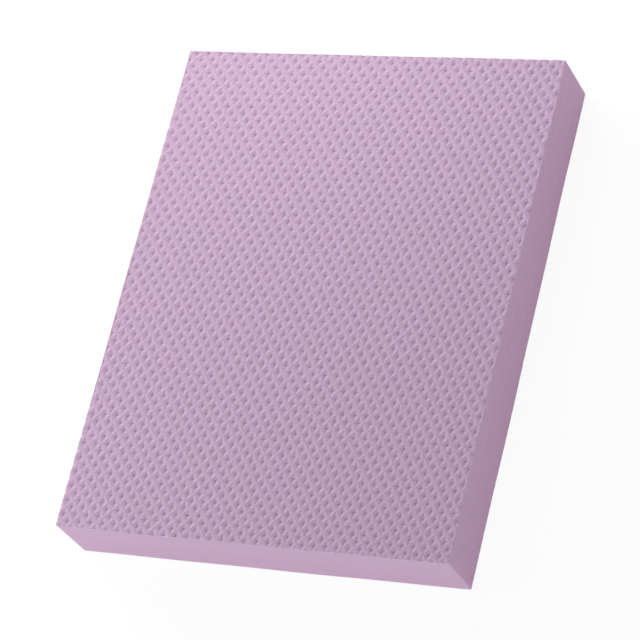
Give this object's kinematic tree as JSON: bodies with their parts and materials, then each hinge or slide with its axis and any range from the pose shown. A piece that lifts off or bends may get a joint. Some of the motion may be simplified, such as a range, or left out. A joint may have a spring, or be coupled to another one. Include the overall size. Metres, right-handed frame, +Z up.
{
  "type": "balance pad",
  "caption": "Rectangular closed-cell foam balance pad with smooth walls and a diamond-pitted non-slip tread, built from bonded foam sheets.",
  "frame": {"origin": "centre of the underside, where the pad rests on the floor", "axes": "+Z up through the thickness, +Y along the longer side, +X along the shorter side"},
  "size_m": [0.31, 0.397, 0.05],
  "materials": {
    "embossed_foam": "matte",
    "core_foam": "matte"
  },
  "bodies": {
    "base": {"base_sheet": "embossed_foam", "core_sheet_1": "core_foam", "core_sheet_2": "core_foam", "core_sheet_3": "core_foam", "core_sheet_4": "core_foam"},
    "tread": {"tread_sheet": "embossed_foam"}
  },
  "joints": [
    {"name": "foam_give", "type": "slide", "parent": "base", "child": "tread", "axis": [0, 0, -1], "range_m": [0, 0.02], "stiffness_N_per_m": 45000, "deforming": ["core_sheet_1", "core_sheet_2", "core_sheet_3", "core_sheet_4"]}
  ]
}
